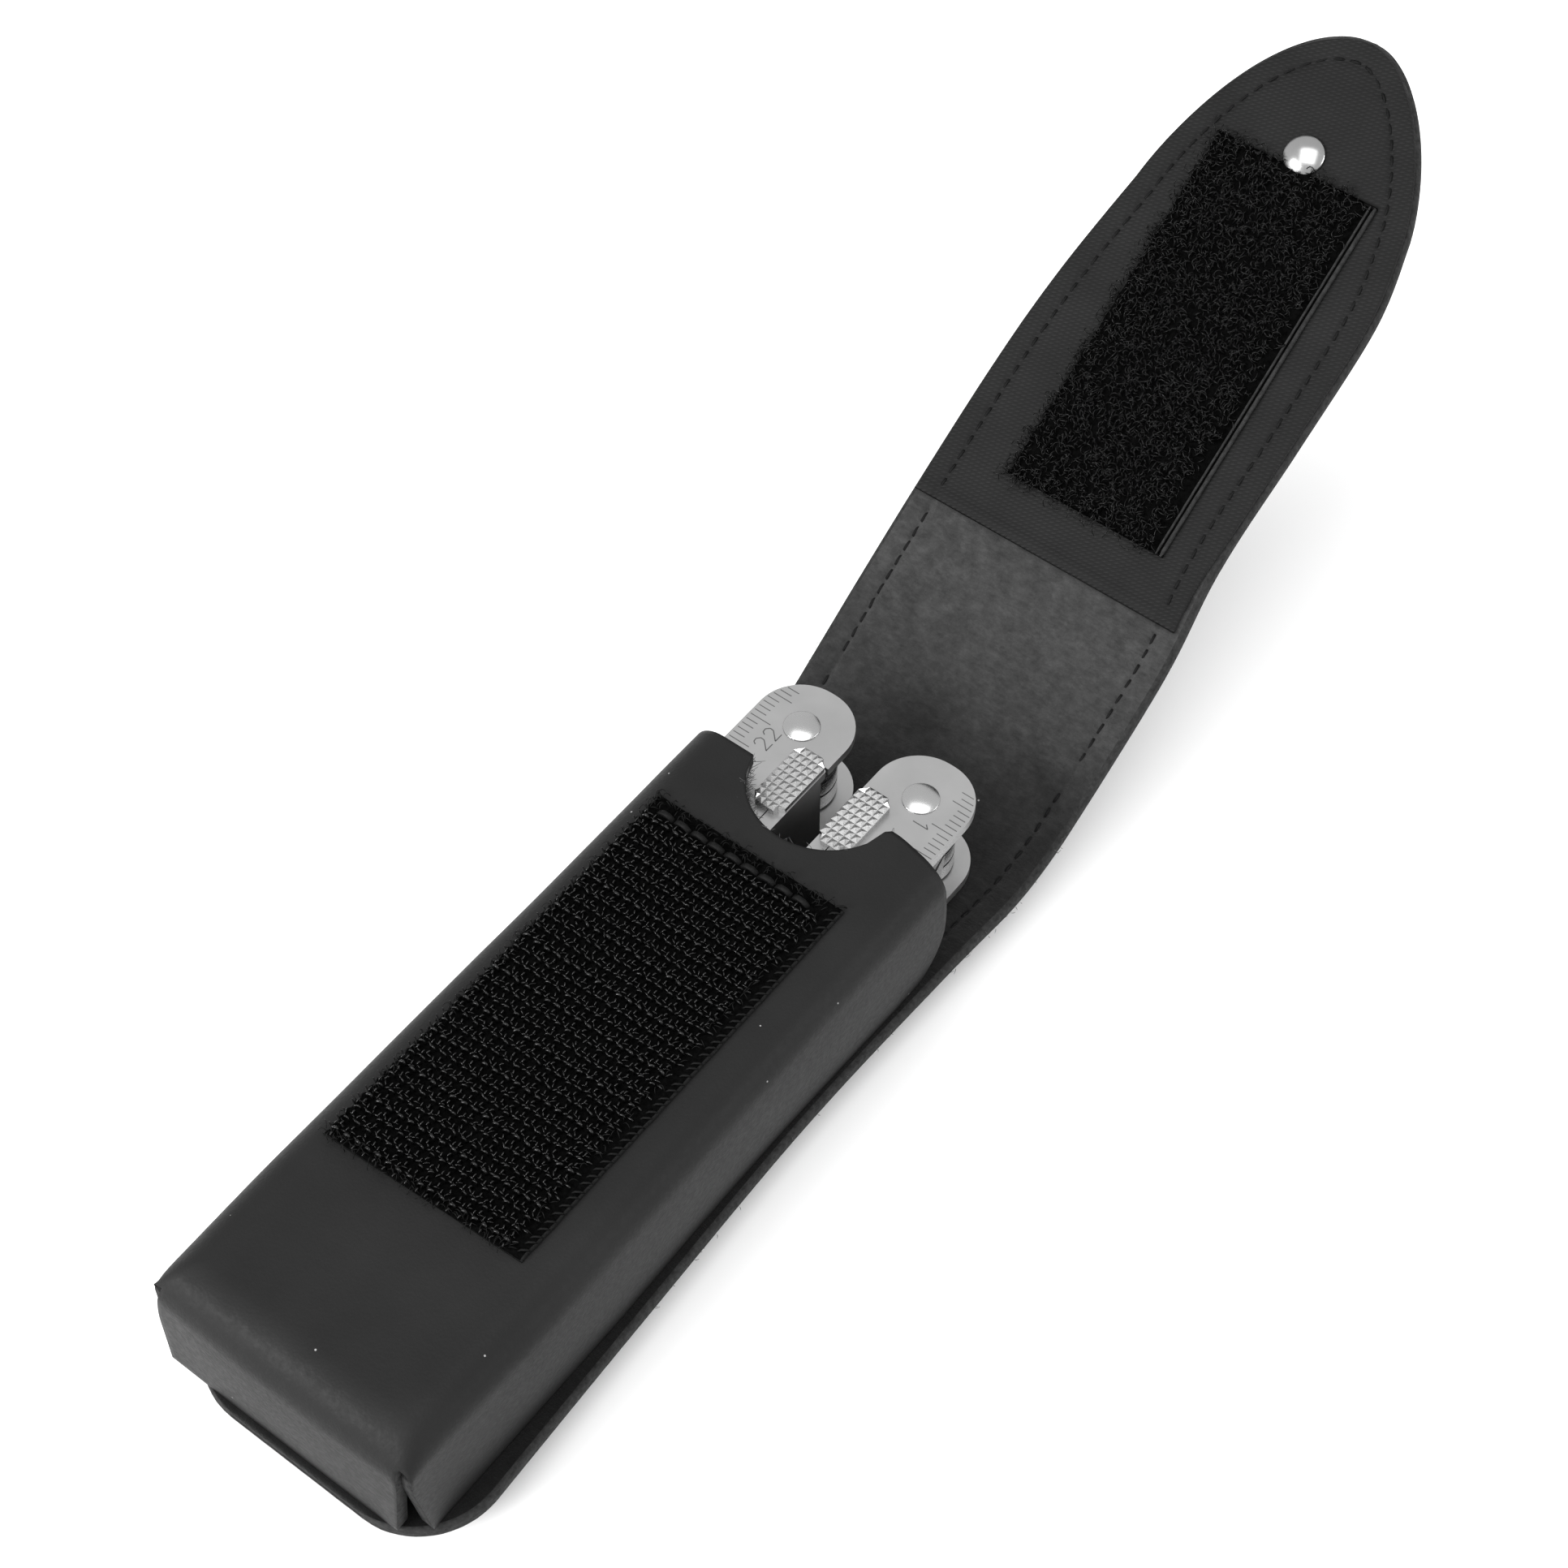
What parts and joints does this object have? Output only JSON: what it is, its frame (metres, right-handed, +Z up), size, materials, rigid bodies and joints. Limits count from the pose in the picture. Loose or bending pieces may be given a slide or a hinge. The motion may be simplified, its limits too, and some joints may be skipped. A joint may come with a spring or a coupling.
{
  "type": "folding plier multi tool in belt sheath",
  "caption": "Folding plier multi tool with locking implements in a leather belt sheath, whose hook and loop flap folds over the mouth.",
  "frame": {"origin": "middle of the belt loop's resting face, on the plane the sheath lies on", "axes": "+Y along the sheath from its closed end to its mouth and flap, +Z up off the sheath's back, +X to the right seen from the closed end"},
  "size_m": [0.048, 0.2473, 0.0764],
  "materials": {
    "leather": "smooth black",
    "lining": "twill weave",
    "hook_tape": "hook tape",
    "loop_tape": "loop tape",
    "satin_steel": "satin",
    "knurled_steel": "knurled",
    "jaw_steel": "satin",
    "polished_steel": "polished"
  },
  "bodies": {
    "sheath": {"back_panel": "leather", "front_shell": "leather", "belt_loop": "leather", "belt_loop_rivets": "polished_steel", "hook_patch": "hook_tape"},
    "flap_lower": {"flap_bridge": "leather"},
    "flap_upper": {"flap_tongue": "leather", "flap_lining": "lining", "loop_patch": "loop_tape", "snap_cap": "polished_steel", "snap_post": "polished_steel"},
    "plier_left": {"left_jaw": "jaw_steel", "plier_pivot": "polished_steel"},
    "plier_right": {"right_jaw": "jaw_steel"},
    "left_handle": {"left_top_plate": "satin_steel", "left_bottom_plate": "satin_steel", "left_lock_bar": "satin_steel", "left_back_spring": "satin_steel", "left_tool_rivet": "polished_steel", "left_head_rivet": "polished_steel"},
    "left_lock": {"left_lock_slide": "knurled_steel"},
    "right_handle": {"right_top_plate": "satin_steel", "right_bottom_plate": "satin_steel", "right_lock_bar": "satin_steel", "right_back_spring": "satin_steel", "right_tool_rivet": "polished_steel", "right_head_rivet": "polished_steel"},
    "right_lock": {"right_lock_slide": "knurled_steel"},
    "knife_blade": {"knife_blade": "satin_steel"},
    "serrated_blade": {"serrated_blade": "satin_steel"},
    "wood_saw": {"wood_saw": "satin_steel"},
    "metal_file": {"metal_file": "satin_steel"},
    "screwdriver": {"screwdriver": "satin_steel"},
    "can_opener": {"can_opener": "satin_steel"},
    "cap_lifter": {"cap_lifter": "satin_steel"},
    "reamer_awl": {"reamer_awl": "satin_steel"}
  },
  "joints": [
    {"name": "flap_fold", "type": "hinge", "parent": "sheath", "child": "flap_lower", "pos_m": [0, 0.058, 0.0075], "axis": [1, 0, 0], "range_deg": [0, 59]},
    {"name": "flap_fold_over", "type": "hinge", "parent": "flap_lower", "child": "flap_upper", "pos_m": [0, 0.08329, 0.02269], "axis": [1, 0, 0], "range_deg": [0, 90]},
    {"name": "tool_draw", "type": "slide", "parent": "sheath", "child": "plier_left", "axis": [0, 1, 0], "range_m": [0, 0.3], "deforming": ["front_shell", "flap_bridge", "flap_tongue"]},
    {"name": "handles_unfold", "type": "hinge", "parent": "plier_left", "child": "left_handle", "pos_m": [-0.0116, -0.052, 0.018], "axis": [0, 0, 1], "range_deg": [0, 180]},
    {"name": "jaws_open", "type": "hinge", "parent": "plier_left", "child": "plier_right", "pos_m": [-0.0011, -0.029, 0.018], "axis": [0, 0, 1], "range_deg": [0, 30]},
    {"name": "right_handle_unfold", "type": "hinge", "parent": "plier_right", "child": "right_handle", "pos_m": [0.0094, -0.052, 0.018], "axis": [0, 0, 1], "range_deg": [-180, 0]},
    {"name": "left_lock_slide_travel", "type": "slide", "parent": "left_handle", "child": "left_lock", "axis": [0, -1, 0], "range_m": [0, 0.003], "stiffness_N_per_m": 150},
    {"name": "knife_blade_open", "type": "hinge", "parent": "left_handle", "child": "knife_blade", "pos_m": [-0.0116, 0.0485, 0.018], "axis": [0, 0, -1], "range_deg": [0, 180]},
    {"name": "serrated_blade_open", "type": "hinge", "parent": "left_handle", "child": "serrated_blade", "pos_m": [-0.0116, 0.0485, 0.018], "axis": [0, 0, -1], "range_deg": [0, 180]},
    {"name": "wood_saw_open", "type": "hinge", "parent": "left_handle", "child": "wood_saw", "pos_m": [-0.0116, 0.0485, 0.018], "axis": [0, 0, -1], "range_deg": [0, 180]},
    {"name": "metal_file_open", "type": "hinge", "parent": "left_handle", "child": "metal_file", "pos_m": [-0.0116, 0.0485, 0.018], "axis": [0, 0, -1], "range_deg": [0, 180]},
    {"name": "right_lock_slide_travel", "type": "slide", "parent": "right_handle", "child": "right_lock", "axis": [0, -1, 0], "range_m": [0, 0.003], "stiffness_N_per_m": 150},
    {"name": "screwdriver_open", "type": "hinge", "parent": "right_handle", "child": "screwdriver", "pos_m": [0.0094, 0.0485, 0.018], "axis": [0, 0, 1], "range_deg": [0, 180]},
    {"name": "can_opener_open", "type": "hinge", "parent": "right_handle", "child": "can_opener", "pos_m": [0.0094, 0.0485, 0.018], "axis": [0, 0, 1], "range_deg": [0, 180]},
    {"name": "cap_lifter_open", "type": "hinge", "parent": "right_handle", "child": "cap_lifter", "pos_m": [0.0094, 0.0485, 0.018], "axis": [0, 0, 1], "range_deg": [0, 180]},
    {"name": "reamer_awl_open", "type": "hinge", "parent": "right_handle", "child": "reamer_awl", "pos_m": [0.0094, 0.0485, 0.018], "axis": [0, 0, 1], "range_deg": [0, 180]}
  ],
  "couplings": [
    {"joint": "flap_fold_over", "follows": "flap_fold", "ratio": 1.5254},
    {"joint": "jaws_open", "follows": "handles_unfold", "ratio": 0.16667},
    {"joint": "right_handle_unfold", "follows": "handles_unfold", "ratio": -1}
  ]
}
